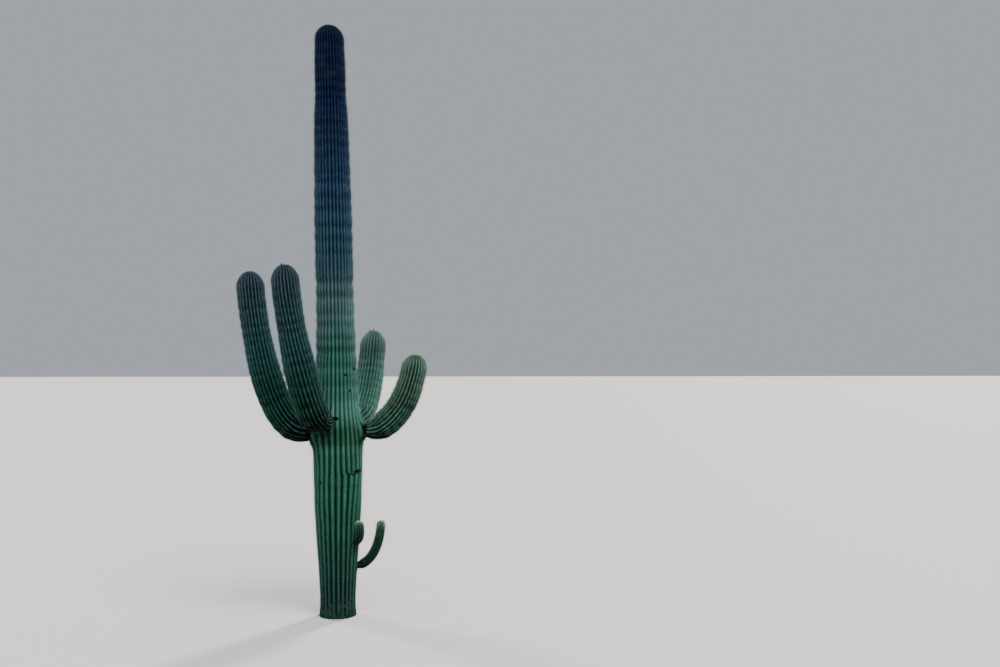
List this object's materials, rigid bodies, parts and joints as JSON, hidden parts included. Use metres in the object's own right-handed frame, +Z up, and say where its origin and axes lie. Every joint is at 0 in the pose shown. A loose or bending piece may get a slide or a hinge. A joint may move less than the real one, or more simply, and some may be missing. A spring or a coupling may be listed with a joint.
{
  "type": "saguaro cactus",
  "caption": "Tall pleated saguaro cactus with upturned arms about a third of the way up, young arms near its foot and a flat cut at ground level.",
  "frame": {"origin": "centre of the flat cut under the trunk, at ground level", "axes": "+Z up the trunk; -Y faces the side the picture shows; +X is the right of that view"},
  "size_m": [2.411, 1.8551, 7.6],
  "materials": {
    "trunk_flesh": "waxy green skin, corky at the foot",
    "arm_flesh": "waxy green skin",
    "young_flesh": "waxy fresh green skin"
  },
  "bodies": {
    "root": {"trunk": "trunk_flesh", "left_arm_elbow": "arm_flesh", "left_arm_upright": "arm_flesh", "front_arm_elbow": "arm_flesh", "front_arm_upright": "arm_flesh", "back_arm_elbow": "arm_flesh", "back_arm_upright": "arm_flesh", "right_arm_elbow": "arm_flesh", "right_arm_upright": "arm_flesh", "young_arm": "young_flesh", "sprout": "young_flesh"}
  },
  "joints": []
}
